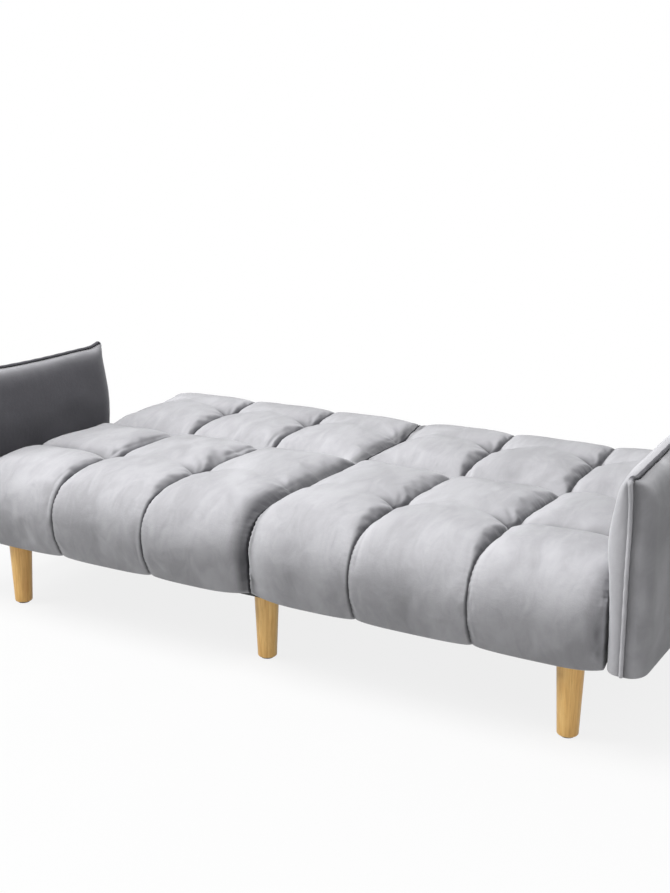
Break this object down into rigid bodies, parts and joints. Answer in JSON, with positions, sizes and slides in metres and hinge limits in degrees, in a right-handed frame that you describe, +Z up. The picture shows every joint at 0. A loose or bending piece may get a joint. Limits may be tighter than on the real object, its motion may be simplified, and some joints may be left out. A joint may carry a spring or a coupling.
{
  "type": "sofa bed",
  "caption": "Split-back click-clack sofa bed in quilted grey velvet with padded piped arms and turned wooden legs, folded flat as a bed; each back folds up by itself.",
  "frame": {"origin": "on the floor, in the middle of the footprint of the sofa bed folded flat", "axes": "+X along the sofa to the sitter-facing viewer's right, +Y from the front edge to the backs, +Z up"},
  "size_m": [1.888, 0.9506, 0.622],
  "materials": {
    "velvet": "matte",
    "welt_velvet": "matte",
    "leg_wood": "satin",
    "frame_wood": "matte",
    "webbing": "matte",
    "lining_cloth": "matte",
    "hinge_steel": "satin",
    "spring_steel": "satin",
    "fastener_steel": "satin",
    "base_paint": "satin",
    "cap_plastic": "matte",
    "glide_plastic": "matte"
  },
  "bodies": {
    "base": {"arm_bolts": "fastener_steel", "arm_frame_left": "frame_wood", "arm_frame_right": "frame_wood", "arm_pad_left": "velvet", "arm_pad_right": "velvet", "arm_welt_left": "welt_velvet", "arm_welt_right": "welt_velvet", "base_rail_caps": "cap_plastic", "base_rail_centre": "base_paint", "base_rail_left": "base_paint", "base_rail_right": "base_paint", "frame_bolts": "fastener_steel", "hinge_rivets": "fastener_steel", "hinge_seat_plate_inner_left": "hinge_steel", "hinge_seat_plate_inner_right": "hinge_steel", "hinge_seat_plate_outer_left": "hinge_steel", "hinge_seat_plate_outer_right": "hinge_steel", "leg_front_centre": "leg_wood", "leg_front_left": "leg_wood", "leg_front_right": "leg_wood", "leg_glides": "glide_plastic", "leg_hanger_bolts": "fastener_steel", "leg_rear_centre": "leg_wood", "leg_rear_left": "leg_wood", "leg_rear_right": "leg_wood", "leg_weld_nuts": "fastener_steel", "pawl_springs": "spring_steel", "seat_corner_blocks_left": "frame_wood", "seat_corner_blocks_right": "frame_wood", "seat_cross_rails_left": "frame_wood", "seat_cross_rails_right": "frame_wood", "seat_cushion_left": "velvet", "seat_cushion_right": "velvet", "seat_dust_cover_left": "lining_cloth", "seat_dust_cover_right": "lining_cloth", "seat_plate_screws": "fastener_steel", "seat_side_rails_left": "frame_wood", "seat_side_rails_right": "frame_wood", "seat_webbing_left": "webbing", "seat_webbing_right": "webbing"},
    "back_left": {"back_cross_rails_left": "frame_wood", "back_cushion_left": "velvet", "back_lining_left": "lining_cloth", "back_plate_screws_left": "fastener_steel", "back_side_rails_left": "frame_wood", "back_webbing_left": "webbing", "hinge_back_plate_inner_left": "hinge_steel", "hinge_back_plate_outer_left": "hinge_steel"},
    "back_right": {"back_cross_rails_right": "frame_wood", "back_cushion_right": "velvet", "back_lining_right": "lining_cloth", "back_plate_screws_right": "fastener_steel", "back_side_rails_right": "frame_wood", "back_webbing_right": "webbing", "hinge_back_plate_inner_right": "hinge_steel", "hinge_back_plate_outer_right": "hinge_steel"},
    "pawl_left_outer": {"hinge_pawl_outer_left": "hinge_steel"},
    "pawl_left_inner": {"hinge_pawl_inner_left": "hinge_steel"},
    "pawl_right_outer": {"hinge_pawl_outer_right": "hinge_steel"},
    "pawl_right_inner": {"hinge_pawl_inner_right": "hinge_steel"}
  },
  "joints": [
    {"name": "left_back_fold", "type": "hinge", "parent": "base", "child": "back_left", "pos_m": [-0.43025, 0.073, 0.362], "axis": [1, 0, 0], "range_deg": [0, 80]},
    {"name": "right_back_fold", "type": "hinge", "parent": "base", "child": "back_right", "pos_m": [0.43025, 0.073, 0.362], "axis": [1, 0, 0], "range_deg": [0, 80]},
    {"name": "left_outer_pawl", "type": "hinge", "parent": "base", "child": "pawl_left_outer", "pos_m": [-0.8429, 0.042, 0.32], "axis": [1, 0, 0], "range_deg": [0, 10]},
    {"name": "left_inner_pawl", "type": "hinge", "parent": "base", "child": "pawl_left_inner", "pos_m": [-0.0176, 0.042, 0.32], "axis": [1, 0, 0], "range_deg": [0, 10]},
    {"name": "right_outer_pawl", "type": "hinge", "parent": "base", "child": "pawl_right_outer", "pos_m": [0.8429, 0.042, 0.32], "axis": [1, 0, 0], "range_deg": [0, 10]},
    {"name": "right_inner_pawl", "type": "hinge", "parent": "base", "child": "pawl_right_inner", "pos_m": [0.0176, 0.042, 0.32], "axis": [1, 0, 0], "range_deg": [0, 10]}
  ],
  "couplings": [
    {"joint": "left_inner_pawl", "follows": "left_outer_pawl", "ratio": 1},
    {"joint": "right_inner_pawl", "follows": "right_outer_pawl", "ratio": 1}
  ]
}
